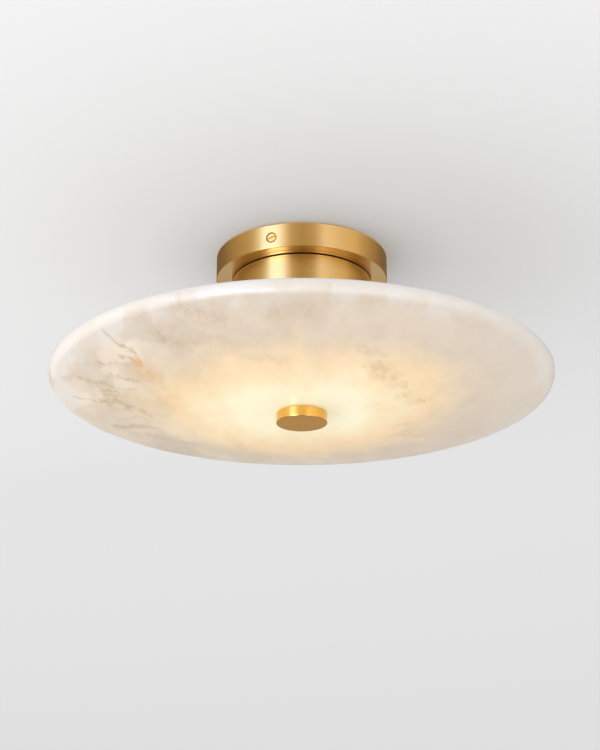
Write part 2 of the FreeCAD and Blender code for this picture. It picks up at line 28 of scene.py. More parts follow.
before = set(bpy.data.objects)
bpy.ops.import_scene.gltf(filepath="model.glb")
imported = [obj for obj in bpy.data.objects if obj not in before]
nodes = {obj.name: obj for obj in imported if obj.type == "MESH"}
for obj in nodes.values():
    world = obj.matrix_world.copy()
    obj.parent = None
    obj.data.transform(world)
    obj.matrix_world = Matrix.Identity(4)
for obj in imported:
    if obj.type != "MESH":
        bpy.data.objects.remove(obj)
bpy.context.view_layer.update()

MM = 0.001
TURN = 2 * math.pi

# Sizes shared with the part
CANOPY_R, CANOPY_TOP, CANOPY_LOW = 81.5, -0.6, -24.0
CANOPY_INNER_R, CANOPY_FLANGE_T, LIP_INNER_R = 76.5, 3.0, 51.6
SCREW_Z, SCREW_SEAT_R, RECESS_R, SCREW_HOLE_R = -13.5, 78.1, 5.15, 2.8
SCREW_BEARINGS = (-20.0, 100.0, 220.0)
NECK_R, NECK_INNER_R = 66.6, 63.6
NECK_TOP, NECK_LOW, NECK_LIP_T = -27.1, -62.0, 4.0
BOWL_R, RIM_Z, RIM_W, RIM_BEVEL = 233.2, -124.0, 14.0, 4.0
DOME_R, POLE_Z, STONE_T = 1275.45, -156.5, 12.0
RIM_ROUND, EDGE_ROUND = 3.0, 8.0
SEAT_R, FLOOR_R, HOLE_R = 22.0, 27.0, 9.2
FINIAL_R, FINIAL_TOP, FINIAL_LOW = 23.6, -156.91, -166.51
SPIGOT_R, SPIGOT_TOP, TAPPING_R, TAPPING_LOW = 8.0, -147.91, 5.05, -163.91
THREAD_PITCH = 1.0

# Sizes that are only here. The shadow gap is shallower than the part's, whose dark wall the canopy's
# underside would mirror as a thick band, and down to GAP_LINE its wall is painted near black as shadow.
GAP_R, GAP_LINE = 65.8, -25.0
CANOPY_EDGE, NECK_EDGE, FINIAL_EDGE = 0.8, 0.35, 0.5    # rounding of turned edges
CUT_PAST = 5.0                                           # how far a cutter stands out of what it cuts
ROUNDED_FROM = math.radians(40)                          # edges sharper than this are rounded
SMOOTH_UP_TO = math.radians(35)                          # edges sharper than this stay crisp

# How level a face is, by the Z of its normal
FACES_DOWN, UPRIGHT = -0.99, 0.5


# ---- Making meshes ----------------------------------------------------------------------------

def deselect():
    """Back to object mode with nothing selected."""
    if bpy.context.mode != "OBJECT":
        bpy.ops.object.mode_set(mode="OBJECT")
    bpy.ops.object.select_all(action="DESELECT")


def place(name):
    """Names the active piece and puts its place into its mesh, so that its object is at the origin."""
    piece = bpy.context.object
    piece.name = piece.data.name = name
    bpy.ops.object.transform_apply(location=True, rotation=True, scale=True)
    return piece


def apply(piece, kind, **settings):
    """Adds a modifier and applies it."""
    bpy.context.view_layer.objects.active = piece
    modifier = piece.modifiers.new(kind.title(), kind)
    for key, value in settings.items():
        setattr(modifier, key, value)
    bpy.ops.object.modifier_apply(modifier=modifier.name)


def turned(name, outline, steps=256):
    """A turned piece: one point is extruded along the outline of (r, z) points, then spun once about Z."""
    deselect()
    r, z = outline[0]
    bpy.ops.mesh.primitive_plane_add(size=MM, location=(r * MM, 0, z * MM))
    piece = place(name)
    bpy.ops.object.mode_set(mode="EDIT")
    bpy.ops.mesh.select_all(action="SELECT")
    bpy.ops.mesh.merge(type="CENTER")
    for (r0, z0), (r1, z1) in zip(outline, outline[1:]):
        step = ((r1 - r0) * MM, 0, (z1 - z0) * MM)
        bpy.ops.mesh.extrude_region_move(TRANSFORM_OT_translate={"value": step})
    bpy.ops.mesh.select_all(action="SELECT")
    bpy.ops.mesh.spin(steps=steps, angle=TURN, center=(0, 0, 0), axis=(0, 0, 1))
    bpy.ops.mesh.select_all(action="SELECT")
    bpy.ops.mesh.remove_doubles(threshold=MM / 1000)
    bpy.ops.mesh.normals_make_consistent(inside=False)
    bpy.ops.object.mode_set(mode="OBJECT")
    return piece


def round_edges(piece, radius, segments):
    """Rounds a turned piece's edges."""
    apply(piece, "BEVEL", width=radius * MM, segments=segments,
          limit_method="ANGLE", angle_limit=ROUNDED_FROM)


def smooth(piece):
    """Smooth shading, with sharp edges kept."""
    deselect()
    piece.select_set(True)
    bpy.context.view_layer.objects.active = piece
    bpy.ops.object.shade_smooth_by_angle(angle=SMOOTH_UP_TO)


def arc(centre, radius, start, end, count):
    """Points of an outline on an arc, by angle in degrees from straight down, growing outwards."""
    points = []
    for i in range(count + 1):
        a = math.radians(start + (end - start) * i / count)
        points.append((centre[0] + radius * math.sin(a), centre[1] - radius * math.cos(a)))
    return points


# ---- Making materials -------------------------------------------------------------------------

def linear(code):
    """A colour's sRGB hex value as linear light."""
    levels = [int(code[i:i + 2], 16) / 255 for i in (1, 3, 5)]
    return [v / 12.92 if v <= 0.04045 else ((v + 0.055) / 1.055) ** 2.4 for v in levels] + [1.0]


def add(tree, kind, inputs=None, **settings):
    """Adds a node with its settings. An input is a value, or another node's output to link."""
    made = tree.nodes.new("ShaderNode" + kind)
    for key, value in settings.items():
        setattr(made, key, value)
    for key, value in (inputs or {}).items():
        if isinstance(value, bpy.types.NodeSocket):
            tree.links.new(value, made.inputs[key])
        else:
            made.inputs[key].default_value = value
    return made


def material(name, **sockets):
    """A new material whose Principled shader has these values."""
    made = bpy.data.materials.new(name)
    made.use_nodes = True
    shader = made.node_tree.nodes["Principled BSDF"]
    for key, value in sockets.items():
        shader.inputs[key.replace("_", " ")].default_value = value
    return made, made.node_tree, shader


def ramp(tree, factor, stops):
    """Colours by position, each an sRGB hex value."""
    made = add(tree, "ValToRGB", {0: factor})
    band = made.color_ramp
    while len(band.elements) < len(stops):
        band.elements.new(0.5)
    for element, (position, code) in zip(band.elements, stops):
        element.position = position
        element.color = linear(code)
    return made.outputs[0]


def dress(mat, *names):
    """Gives CAD nodes this material."""
    for name in names:
        slots = nodes[name].data.materials
        slots.clear()
        slots.append(mat)


# ---- Brass, spun and brushed on a lathe, lacquered --------------------------------------------
# The brushing runs round the axis, so highlights spread up and down a wall, in upright bands.

def lathe_brass(name, colour, roughness, anisotropy, line, depth):
    """Brass with brushing lines that run round the part's axis. line is their width in millimetres.

    Real ones are about 0.1 mm wide. These are coarser, so that they show.
    """
    mat, tree, shader = material(name, Base_Color=linear(colour), Metallic=1.0, Roughness=roughness,
                                 Anisotropic=anisotropy, Anisotropic_Rotation=0.25,
                                 Coat_Weight=0.35, Coat_Roughness=0.12)
    place_of = add(tree, "TexCoord").outputs["Object"]
    parts = add(tree, "SeparateXYZ", {0: place_of})
    flat = add(tree, "CombineXYZ", {0: parts.outputs[0], 1: parts.outputs[1]}).outputs[0]
    radius = add(tree, "VectorMath", {0: flat}, operation="LENGTH").outputs["Value"]
    round_way = add(tree, "VectorMath", {0: flat}, operation="NORMALIZE").outputs[0]
    # One line is a step along the outline; the unit vector breaks the lines up slowly round the axis.
    # Z counts a little more than the radius, so no bevel runs along a single line.
    run = add(tree, "Math", {0: parts.outputs[2], 1: 1.37, 2: radius}, operation="MULTIPLY_ADD").outputs[0]
    across = add(tree, "Math", {0: run, 1: 1000 / line}, operation="MULTIPLY").outputs[0]
    around = add(tree, "VectorMath", {0: round_way, 1: (3, 3, 0)}, operation="MULTIPLY").outputs[0]
    along = add(tree, "CombineXYZ", {2: across}).outputs[0]
    where = add(tree, "VectorMath", {0: around, 1: along}, operation="ADD").outputs[0]
    lines = add(tree, "TexNoise", {"Vector": where, "Scale": 1.0, "Detail": 3.0,
                                   "Roughness": 0.7}).outputs[0]
    # Handling leaves soft cloudy patches in the lacquer, a few centimetres across.
    haze = add(tree, "TexNoise", {"Vector": place_of, "Scale": 35.0, "Detail": 2.0}).outputs[0]
    both = add(tree, "Math", {0: lines, 1: 0.6, 2: haze}, operation="MULTIPLY_ADD").outputs[0]
    rough = add(tree, "MapRange", {0: both, 1: 0.4, 2: 1.2,
                                   3: roughness * 0.94, 4: roughness * 1.07}).outputs[0]
    tree.links.new(rough, shader.inputs["Roughness"])
    bump = add(tree, "Bump", {"Height": lines, "Strength": depth, "Distance": 0.00003}).outputs[0]
    tree.links.new(bump, shader.inputs["Normal"])
    tangent = add(tree, "Tangent", direction_type="RADIAL", axis="Z").outputs[0]
    tree.links.new(tangent, shader.inputs["Tangent"])
    return mat


brushed_brass = lathe_brass("brushed_brass", "#E5B76A", 0.26, 0.9, 0.35, 0.05)
# The finial's wall has a finer cut and thicker lacquer, which looks more golden.
golden_brass = lathe_brass("golden_brass", "#F2BB5C", 0.2, 0.85, 0.3, 0.05)
# The flat faces are faced off with a finer cut and mirror what is near them.
faced_brass = lathe_brass("faced_brass", "#EAC788", 0.17, 0.4, 0.25, 0.06)
golden_face = lathe_brass("golden_face", "#E8B35A", 0.2, 0.6, 0.25, 0.1)
# Painted shadow: the head of the shadow gap is near black, so that it reads as a dark line of shade.
painted_gap_shadow = material("painted_gap_shadow", Base_Color=linear("#1A140E"), Metallic=0.6, Roughness=0.6)[0]


def machined_brass():
    """Turned brass of the screws: not lacquered, with an unevenly bright grain left by the cut.

    The grain is drawn about 1 mm across, so that it shows.
    """
    mat, tree, shader = material("turned_brass", Base_Color=linear("#E6B25C"), Metallic=1.0, Roughness=0.26)
    place_of = add(tree, "TexCoord").outputs["Object"]
    grain = add(tree, "TexNoise", {"Vector": place_of, "Scale": 900.0, "Detail": 4.0}).outputs[0]
    rough = add(tree, "MapRange", {0: grain, 3: 0.18, 4: 0.36}).outputs[0]
    tree.links.new(rough, shader.inputs["Roughness"])
    bump = add(tree, "Bump", {"Height": grain, "Strength": 0.2, "Distance": 0.00004}).outputs[0]
    tree.links.new(bump, shader.inputs["Normal"])
    return mat


turned_brass = machined_brass()


def plain_finish(name, colour, wear_and_painted_shade, grain_mm, roughness, spread, bump_depth, **sockets):
    """A moulded, cast or plated finish: fine grain of a real size, and soft changes of tone and gloss."""
    mat, tree, shader = material(name, Roughness=roughness, **sockets)
    place_of = add(tree, "TexCoord").outputs["Object"]
    grain = add(tree, "TexNoise", {"Vector": place_of, "Scale": 1000 / grain_mm, "Detail": 3.0}).outputs[0]
    # Tone changes over soft patches about 17 mm across.
    soft = add(tree, "TexNoise", {"Vector": place_of, "Scale": 60.0, "Detail": 3.0}).outputs[0]
    colours = ramp(tree, soft, [(0.35, colour), (0.75, wear_and_painted_shade)])
    tree.links.new(colours, shader.inputs["Base Color"])
    gloss = add(tree, "MapRange", {0: grain, 3: roughness - spread, 4: roughness + spread}).outputs[0]
    tree.links.new(gloss, shader.inputs["Roughness"])
    bump = add(tree, "Bump", {"Height": grain, "Strength": bump_depth, "Distance": 0.0001}).outputs[0]
    tree.links.new(bump, shader.inputs["Normal"])
    return mat


# Zinc plating on pressed steel: pale grey metal with a crystal-fine frosting.
zinc = plain_finish("zinc_plated_steel", "#BDB9B2", "#ADAAA3", 0.8, 0.5, 0.06, 0.12, Metallic=1.0)
# Stove enamel on steel: white, smooth, with faint orange peel.
enamel = plain_finish("white_enamel", "#EBE9E2", "#E4E1D8", 3.0, 0.3, 0.04, 0.04, Coat_Weight=0.3)
# EPDM rubber: near black, dull, slightly greyed.
rubber = plain_finish("moulded_rubber", "#1C1C1C", "#262524", 0.6, 0.75, 0.08, 0.3)
# Nylon 6: milky white, a little waxy.
nylon = plain_finish("moulded_nylon", "#E2DFD4", "#D8D4C6", 1.0, 0.45, 0.06, 0.15, Subsurface_Weight=0.1)
# Pressed wool felt: matt, fibrous, off-white.
felt = plain_finish("pressed_felt", "#CFC6B2", "#B9AF9B", 0.5, 0.95, 0.03, 0.8, Sheen_Weight=0.4)
# Steatite: unglazed ceramic, chalky and fine-grained.
steatite = plain_finish("steatite_ceramic", "#E3DDCD", "#D6CFBC", 0.5, 0.62, 0.06, 0.3)
# Heat-proof moulded plastic of the lamp's base: plain white.
lamp_plastic = plain_finish("moulded_lamp_plastic", "#E9E7E0", "#E0DED6", 0.8, 0.42, 0.05, 0.12)
# Nickel on brass contact pins: warm silver.
nickel = plain_finish("nickel_plated_pins", "#C9C3B6", "#B6AF9F", 0.5, 0.25, 0.06, 0.1, Metallic=1.0)
# Silicone sleeve over glass braid: grey-white and dull.
silicone = plain_finish("silicone_sleeve", "#D6D3CC", "#C6C2B9", 0.7, 0.55, 0.06, 0.25)
# Plain yellow brass of rod and nuts, not lacquered.
plain_brass = plain_finish("plain_brass", "#D9A552", "#C28F42", 0.6, 0.3, 0.08, 0.15, Metallic=1.0)


def threaded_rod():
    """Brass rod with a rolled metric thread: a V groove that climbs one pitch a turn."""
    mat, tree, shader = material("threaded_brass", Base_Color=linear("#D2A050"), Metallic=1.0,
                                 Roughness=0.3)
    parts = add(tree, "SeparateXYZ", {0: add(tree, "TexCoord").outputs["Object"]})
    bearing = add(tree, "Math", {0: parts.outputs[1], 1: parts.outputs[0]}, operation="ARCTAN2").outputs[0]
    turns = add(tree, "Math", {0: bearing, 1: 1 / TURN}, operation="MULTIPLY").outputs[0]
    climb = add(tree, "Math", {0: parts.outputs[2], 1: 1 / (THREAD_PITCH * MM), 2: turns},
                operation="MULTIPLY_ADD").outputs[0]
    groove = add(tree, "Math", {0: climb, 1: 0.5}, operation="PINGPONG").outputs[0]
    bump = add(tree, "Bump", {"Height": groove, "Strength": 1.0, "Distance": 0.0012}).outputs[0]
    tree.links.new(bump, shader.inputs["Normal"])
    dirt = add(tree, "MapRange", {0: groove, 1: 0.0, 2: 0.5, 3: 0.5, 4: 0.24}).outputs[0]
    tree.links.new(dirt, shader.inputs["Roughness"])
    return mat


threaded_brass = threaded_rod()


def frosted_lamp_glass():
    """Acid-frosted lamp glass, lit from inside: an even warm white glow with faint clouds of 7 mm."""
    mat, tree, shader = material("frosted_lamp_glass", Base_Color=linear("#F6EFE2"), Roughness=0.55,
                                 Subsurface_Weight=0.2, Emission_Strength=0.45)
    place_of = add(tree, "TexCoord").outputs["Object"]
    frost = add(tree, "TexNoise", {"Vector": place_of, "Scale": 140.0, "Detail": 4.0}).outputs[0]
    colours = ramp(tree, frost, [(0.3, "#FFF8EE"), (0.7, "#FFFDFA")])
    tree.links.new(colours, shader.inputs["Emission Color"])
    bump = add(tree, "Bump", {"Height": frost, "Strength": 0.1, "Distance": 0.0001}).outputs[0]
    tree.links.new(bump, shader.inputs["Normal"])
    return mat


lamp_glass = frosted_lamp_glass()


# ---- Alabaster --------------------------------------------------------------------------------
# A honed slab of gypsum alabaster: milky, with soft clouds a few centimetres across, olive and honey
# veins on one side, mauve specks on the other. The lamps above it shine through its middle.

# Each mark is a run: start x, y, end x, y, half width, all in millimetres, strength
OLIVE_VEINS = [
    (-211, -41, -181, -46, 5.5, 0.55), (-181, -46, -174, -20, 8.0, 1.0), (-175, -3, -169, 18, 10.0, 0.9),
    (-169, 18, -152, 22, 9.0, 1.0), (-179, 75, -145, 66, 7.0, 0.8), (-176, -64, -150, -60, 5.0, 0.45),
    (-180, -88, -160, -86, 5.0, 0.35), (-122, -159, -101, -144, 7.0, 0.6),
    (-120, -50, -108, -30, 7.0, 0.5), (-160, 105, -120, 125, 8.0, 0.5)]
HAIR_VEINS = [
    (-166, -160, -156, -135, 1.6, 0.6), (-156, -135, -139, -99, 1.7, 0.9),
    (-159, -113, -142, -91, 1.8, 0.9), (-180, -90, -150, -92, 2.2, 0.7), (-211, 4, -172, -7, 2.0, 0.8),
    (-174, -68, -148, -61, 2.4, 0.7), (-181, -46, -150, -38, 1.8, 0.5), (-179, 52, -150, 44, 2.0, 0.6)]
MAUVE_SPECKS = [
    (54, -138, 68, -130, 7.0, 0.7), (67, -105, 80, -80, 10.0, 1.0), (84, -66, 88, -58, 6.0, 0.8),
    (93, -34, 108, -24, 7.5, 1.0), (66, -22, 82, 6, 7.0, 0.35), (94, 50, 98, 52, 7.0, 0.6),
    (100, 78, 112, 88, 9.0, 0.7)]
BROWN_CLOUDS = [
    (-97, -201, -66, -189, 14.0, 0.9), (-26, -206, -2, -197, 12.0, 0.7), (-60, -150, -10, -160, 16.0, 0.3),
    (-42, -129, -19, -123, 7.0, 0.5), (-175, -25, -160, 5, 16.0, 0.7), (-112, -158, -96, -150, 14.0, 0.7)]
HONEY_SPOTS = [(-141, -92, -135, -72, 10.0, 1.0), (-118, -18, -112, 14, 14.0, 0.35)]
WHITE_PATCHES = [
    (-205, -92, -203, -118, 12.0, 1.0), (-190, -128, -176, -150, 13.0, 1.0),
    (-160, -163, -142, -176, 12.0, 1.0), (-132, -183, -118, -192, 10.0, 0.9),
    (-82, -212, -57, -222, 10.0, 0.8), (-30, -217, 14, -222, 9.0, 0.7), (-228, -20, -226, -50, 9.0, 0.7),
    (-128, -132, -112, -120, 13.0, 0.35), (-166, -52, -150, -48, 8.0, 0.5)]
# Where the lamps shine through: in full near the middle, fading outwards, and reaching further in places.
# A spread is its centre x, y, its radius and how much further the light reaches there, in millimetres.
GLOW_MIDDLE, GLOW_FULL_R, GLOW_END_R = (0.0, -9.0, 0.0), 48.0, 168.0
GLOW_SPREADS = [(100, -90, 40, 24.0), (-105, -35, 40, 16.0), (118, -20, 25, 16.0), (0, 140, 90, 24.0)]
# The stone's pattern is this much shorter from left to right than from front to back.
BEDDING = 0.42


def alabaster_stone():
    """Alabaster: clouds and crystals first, then the marks, the glow of the lamps, and a honed surface."""
    mat, tree, shader = material("honed_alabaster", Roughness=0.34, IOR=1.52, Subsurface_Weight=0.25,
                                 Subsurface_Scale=0.012, Emission_Strength=1.0)
    shader.inputs["Subsurface Radius"].default_value = (1.0, 0.72, 0.45)
    place_of = add(tree, "TexCoord").outputs["Object"]
    mm = add(tree, "VectorMath", {0: place_of, "Scale": 1 / MM}, operation="SCALE").outputs[0]
    bedded = add(tree, "VectorMath", {0: mm, 1: (1, BEDDING, 1)}, operation="MULTIPLY").outputs[0]

    def noise(scale_mm, detail=4.0, roughness=0.55, distortion=0.0, output=0):
        return add(tree, "TexNoise", {"Vector": bedded, "Scale": 1 / scale_mm, "Detail": detail,
                                      "Roughness": roughness, "Distortion": distortion}).outputs[output]

    def math_of(operation, a, b=0.0, c=0.0, clamp=False):
        return add(tree, "Math", {0: a, 1: b, 2: c}, operation=operation, use_clamp=clamp).outputs[0]

    def vector_of(operation, a, b, c=(0, 0, 0), output=0):
        return add(tree, "VectorMath", {0: a, 1: b, 2: c}, operation=operation).outputs[output]

    def level_of(value, low, high, at_low=0.0, at_high=1.0):
        return add(tree, "MapRange", {0: value, 1: low, 2: high, 3: at_low, 4: at_high}).outputs[0]

    def scaled(vector, factor):
        return add(tree, "VectorMath", {0: vector, "Scale": factor}, operation="SCALE").outputs[0]

    def mixed(factor, a, b):
        return add(tree, "Mix", {0: factor, 6: a, 7: b}, data_type="RGBA", clamp_factor=True).outputs[2]

    # The grain bends the veins: each point looks up its mark some way off, in part by flat crystals about
    # 10 mm across, which gives the marks broken, angular outlines.
    push = vector_of("SUBTRACT", noise(30, 5.0, 0.6, output=1), (0.5, 0.5, 0.5))
    bent = vector_of("MULTIPLY_ADD", push, (26, 26, 26), bedded)
    bent_place = vector_of("MULTIPLY", bent, (1, 1 / BEDDING, 0))
    split = vector_of("MULTIPLY", bent, (0.4, 1, 1))
    shard = add(tree, "TexVoronoi", {"Vector": split, "Scale": 1 / 4.2}, feature="F1").outputs["Position"]
    shard_place = vector_of("MULTIPLY", shard, (1 / 0.4, 1 / BEDDING, 0))
    broken_place = add(tree, "Mix", {0: 0.65, 4: bent_place, 5: shard_place}, data_type="VECTOR").outputs[1]

    def marks(runs, softness, at):
        """How deep a point lies in any of the runs, from 0 to 1."""
        total = None
        for x0, y0, x1, y1, half, strength in runs:
            way = (x1 - x0, y1 - y0, 0)
            from_start = vector_of("SUBTRACT", at, (x0, y0, 0))
            along = vector_of("DOT_PRODUCT", from_start, way, output="Value")
            share = math_of("MULTIPLY", along, 1 / (way[0] ** 2 + way[1] ** 2), clamp=True)
            away = vector_of("DISTANCE", from_start, scaled(way, share), output="Value")
            depth = level_of(away, half * (1 + softness), half * (1 - softness), 0.0, strength)
            total = depth if total is None else math_of("MAXIMUM", total, depth)
        return total

    clouds = noise(58, 3.0, 0.5, 0.6)
    small_clouds = noise(16, 3.0, 0.55, 0.4)
    crystals = noise(3.2, 4.0, 0.65)
    flecks = noise(8, 4.0, 0.65, 0.4)
    # Large crystals: each is a little paler or darker than the next.
    crystal = add(tree, "TexVoronoi", {"Vector": bent, "Scale": 1 / 24.0, "Smoothness": 0.35},
                  feature="SMOOTH_F1")
    block = add(tree, "SeparateXYZ", {0: crystal.outputs["Color"]}).outputs[0]

    body = ramp(tree, clouds, [(0.3, "#E0CFBA"), (0.48, "#E9DAC9"), (0.7, "#EFE5D8")])
    mottle = ramp(tree, small_clouds, [(0.3, "#DFCEB8"), (0.52, "#EADCCB"), (0.75, "#F2E9DD")])
    colour = mixed(0.4, body, mottle)
    parts = add(tree, "SeparateXYZ", {0: mm})
    # Right of the middle the stone is greyer and plainer.
    rightness = level_of(parts.outputs[0], 60.0, 190.0, 0.0, 0.75)
    colour = mixed(rightness, colour, linear("#E4D9CD"))
    leftness = level_of(parts.outputs[0], -30.0, -190.0)
    contrast = math_of("MULTIPLY_ADD", leftness, 0.22, 0.05)
    tone = math_of("ADD", math_of("MULTIPLY", math_of("SUBTRACT", block, 0.5), contrast), 1.0)
    colour = scaled(colour, tone)

    # The thin rounded edge lets more light in and looks whiter, and there are white patches beside it.
    level = vector_of("MULTIPLY", mm, (1, 1, 0))
    out = vector_of("LENGTH", level, (0, 0, 0), output="Value")
    swing = math_of("MULTIPLY_ADD", leftness, 24.0, 16.0)
    ragged = math_of("MULTIPLY_ADD", math_of("SUBTRACT", block, 0.5), swing, math_of("ADD", out, 8.0))
    ragged = math_of("MULTIPLY_ADD", small_clouds, 14.0, ragged)
    edge = level_of(ragged, 234.0, 246.0, 0.0, 0.75)
    white = math_of("MULTIPLY", marks(WHITE_PATCHES, 0.6, broken_place),
                    level_of(block, 0.2, 0.5, 0.15, 1.0))
    colour = mixed(math_of("MAXIMUM", edge, white), colour, linear("#E9E4DE"))

    patchy = level_of(flecks, 0.4, 0.55, 0.3, 1.0)
    stain = None
    for runs, softness, at, code, most in (
            (BROWN_CLOUDS, 0.9, bent_place, "#CDB599", 0.6),
            (OLIVE_VEINS, 0.5, broken_place, "#B3A078", 0.64),
            (HAIR_VEINS, 0.6, bent_place, "#B0A07C", 0.6),
            (HONEY_SPOTS, 0.6, bent_place, "#DDA868", 0.75),
            (MAUVE_SPECKS, 0.45, broken_place, "#BFAC9E", 0.6)):
        depth = math_of("MULTIPLY", math_of("MULTIPLY", marks(runs, softness, at), patchy), most)
        colour = mixed(depth, colour, linear(code))
        stain = depth if stain is None else math_of("MAXIMUM", stain, depth)

    colour = scaled(colour, level_of(crystals, 0.3, 0.7, 0.98, 1.01))

    # Light of the lamps through the stone, broken up by its clouds and dimmed by its marks.
    away = vector_of("DISTANCE", bent_place, GLOW_MIDDLE, output="Value")
    away = math_of("MULTIPLY_ADD", clouds, -60.0, math_of("ADD", away, 30.0))
    away = math_of("MULTIPLY_ADD", small_clouds, -30.0, math_of("ADD", away, 15.0))
    for x, y, reach, gain in GLOW_SPREADS:
        near = math_of("DIVIDE", vector_of("DISTANCE", bent_place, (x, y, 0), output="Value"), reach)
        lobe = math_of("EXPONENT", math_of("MULTIPLY", math_of("MULTIPLY", near, near), -1.0))
        away = math_of("MULTIPLY_ADD", lobe, -gain, away)
    glow = level_of(away, GLOW_END_R, GLOW_FULL_R)
    glow = math_of("MULTIPLY", glow, math_of("MULTIPLY_ADD", stain, -0.6, 1.0))
    # Lit from behind, the stone looks warmer.
    colour = mixed(level_of(away, 205.0, 110.0, 0.0, 0.5), colour, linear("#E8CDA4"))
    # The hollow side is ground and not honed: chalky and paler.
    facing = add(tree, "SeparateXYZ", {0: add(tree, "NewGeometry").outputs["Normal"]}).outputs[2]
    hollow = level_of(facing, -0.2, 0.3)
    colour = mixed(math_of("MULTIPLY", hollow, 0.95), colour, linear("#DDDCDB"))
    tree.links.new(colour, shader.inputs["Base Color"])

    # The fringe of the glow is amber and its middle nearly white. The hollow side hardly glows.
    shine = ramp(tree, glow, [(0.0, "#000000"), (0.25, "#524210"), (0.5, "#796127"), (0.72, "#817950"),
                              (1.0, "#8B9781")])
    shine = scaled(shine, math_of("MULTIPLY_ADD", hollow, -0.94, 1.0))
    tree.links.new(shine, shader.inputs["Emission Color"])

    tree.links.new(level_of(crystals, 0.0, 1.0, 0.26, 0.42), shader.inputs["Roughness"])
    bump = add(tree, "Bump", {"Height": crystals, "Strength": 0.06, "Distance": 0.0003}).outputs[0]
    tree.links.new(bump, shader.inputs["Normal"])
    return mat


alabaster = alabaster_stone()


# ---- Pieces that stand for CAD nodes ----------------------------------------------------------

def canopy_ring():
    """Canopy: a turned ring, with a sunk round recess for each side screw."""
    flange_top = CANOPY_LOW + CANOPY_FLANGE_T
    piece = turned("canopy_ring", [
        (CANOPY_INNER_R, CANOPY_TOP), (CANOPY_R, CANOPY_TOP), (CANOPY_R, CANOPY_LOW),
        (LIP_INNER_R, CANOPY_LOW), (LIP_INNER_R, flange_top), (CANOPY_INNER_R, flange_top),
        (CANOPY_INNER_R, CANOPY_TOP)], 288)
    round_edges(piece, CANOPY_EDGE, 3)
    for bearing in SCREW_BEARINGS:
        a = math.radians(bearing)
        for radius, near, far in ((RECESS_R, SCREW_SEAT_R, CANOPY_R + CUT_PAST),
                                  (SCREW_HOLE_R, CANOPY_INNER_R - CUT_PAST, CANOPY_R)):
            middle = (near + far) / 2 * MM
            deselect()
            bpy.ops.mesh.primitive_cylinder_add(
                vertices=64, radius=radius * MM, depth=(far - near) * MM, rotation=(math.pi / 2, 0, a),
                location=(middle * math.sin(a), -middle * math.cos(a), SCREW_Z * MM))
            cutter = place("recess_cutter")
            apply(piece, "BOOLEAN", operation="DIFFERENCE", object=cutter, solver="EXACT")
            bpy.data.objects.remove(cutter)
    return piece


def neck_wall():
    """Drum: a turned wall with the shadow gap cut in under the canopy, with an edge at GAP_LINE below the
    gap's head, where painted shadow goes.
    """
    lip_low = NECK_TOP - NECK_LIP_T
    piece = turned("neck_wall", [
        (LIP_INNER_R, CANOPY_LOW), (GAP_R, CANOPY_LOW), (GAP_R, GAP_LINE), (GAP_R, NECK_TOP),
        (NECK_R, NECK_TOP), (NECK_R, NECK_LOW), (NECK_INNER_R, NECK_LOW), (NECK_INNER_R, lip_low),
        (LIP_INNER_R, lip_low), (LIP_INNER_R, CANOPY_LOW)], 256)
    round_edges(piece, NECK_EDGE, 2)
    return piece


def stone_dish():
    """Dish: a shallow dome below, a rounded edge, a flat rim, a hollow above and a hole at its middle."""
    centre_z = POLE_Z + DOME_R
    round_r = BOWL_R - EDGE_ROUND
    round_z = centre_z - math.sqrt((DOME_R - EDGE_ROUND) ** 2 - round_r ** 2)
    lean = math.degrees(math.atan2(round_r, centre_z - round_z))
    inner_r = DOME_R - STONE_T
    hollow_r = BOWL_R - RIM_W - RIM_BEVEL
    seat_angle = math.degrees(math.asin(SEAT_R / DOME_R))
    hollow_angle = math.degrees(math.asin(hollow_r / inner_r))
    floor_angle = math.degrees(math.asin(FLOOR_R / inner_r))
    seat_z = centre_z - DOME_R * math.cos(math.radians(seat_angle))
    floor_z = centre_z - inner_r * math.cos(math.radians(floor_angle))
    outline = [(HOLE_R, floor_z), (HOLE_R, seat_z)]
    outline += arc((0, centre_z), DOME_R, seat_angle, lean, 26)
    outline += arc((round_r, round_z), EDGE_ROUND, lean, 90, 10)[1:]
    outline += arc((BOWL_R - RIM_ROUND, RIM_Z - RIM_ROUND), RIM_ROUND, 90, 180, 6)
    outline += [(BOWL_R - RIM_W, RIM_Z)]
    outline += arc((0, centre_z), inner_r, hollow_angle, floor_angle, 22)
    outline += [(HOLE_R, floor_z)]
    return turned("stone_dish", outline, 288)


def finial_disc():
    """Finial: a turned disc with crisp bevelled edges and a tapped spigot."""
    piece = turned("finial_disc", [
        (0, FINIAL_LOW), (FINIAL_R, FINIAL_LOW), (FINIAL_R, FINIAL_TOP), (SPIGOT_R, FINIAL_TOP),
        (SPIGOT_R, SPIGOT_TOP), (TAPPING_R, SPIGOT_TOP), (TAPPING_R, TAPPING_LOW), (0, TAPPING_LOW)], 160)
    round_edges(piece, FINIAL_EDGE, 3)
    return piece


canopy = canopy_ring()
neck = neck_wall()
dish = stone_dish()
finial = finial_disc()
for piece, node, body, mat, face_mat, slot in (
        (canopy, "canopy", "fixture", brushed_brass, faced_brass, "brushed_brass"),
        (neck, "neck_drum", "fixture", brushed_brass, faced_brass, "brushed_brass"),
        (dish, "alabaster_bowl", "bowl", alabaster, None, "alabaster"),
        (finial, "finial", "finial", golden_brass, golden_face, "brushed_brass")):
    smooth(piece)
    piece.data.materials.clear()
    piece.data.materials.append(mat)
    if face_mat:
        apply(piece, "WEIGHTED_NORMAL", keep_sharp=True)
        piece.data.materials.append(face_mat)
        for face in piece.data.polygons:
            face.material_index = 1 if face.normal.z < FACES_DOWN else 0
    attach(piece, body)
    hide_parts(node)
# Painted shadow: the upright faces above GAP_LINE, at the head of the shadow gap, take the near-black
# material.
neck.data.materials.append(painted_gap_shadow)
for face in neck.data.polygons:
    if face.center.z > GAP_LINE * MM and abs(face.normal.z) < UPRIGHT:
        face.material_index = 2

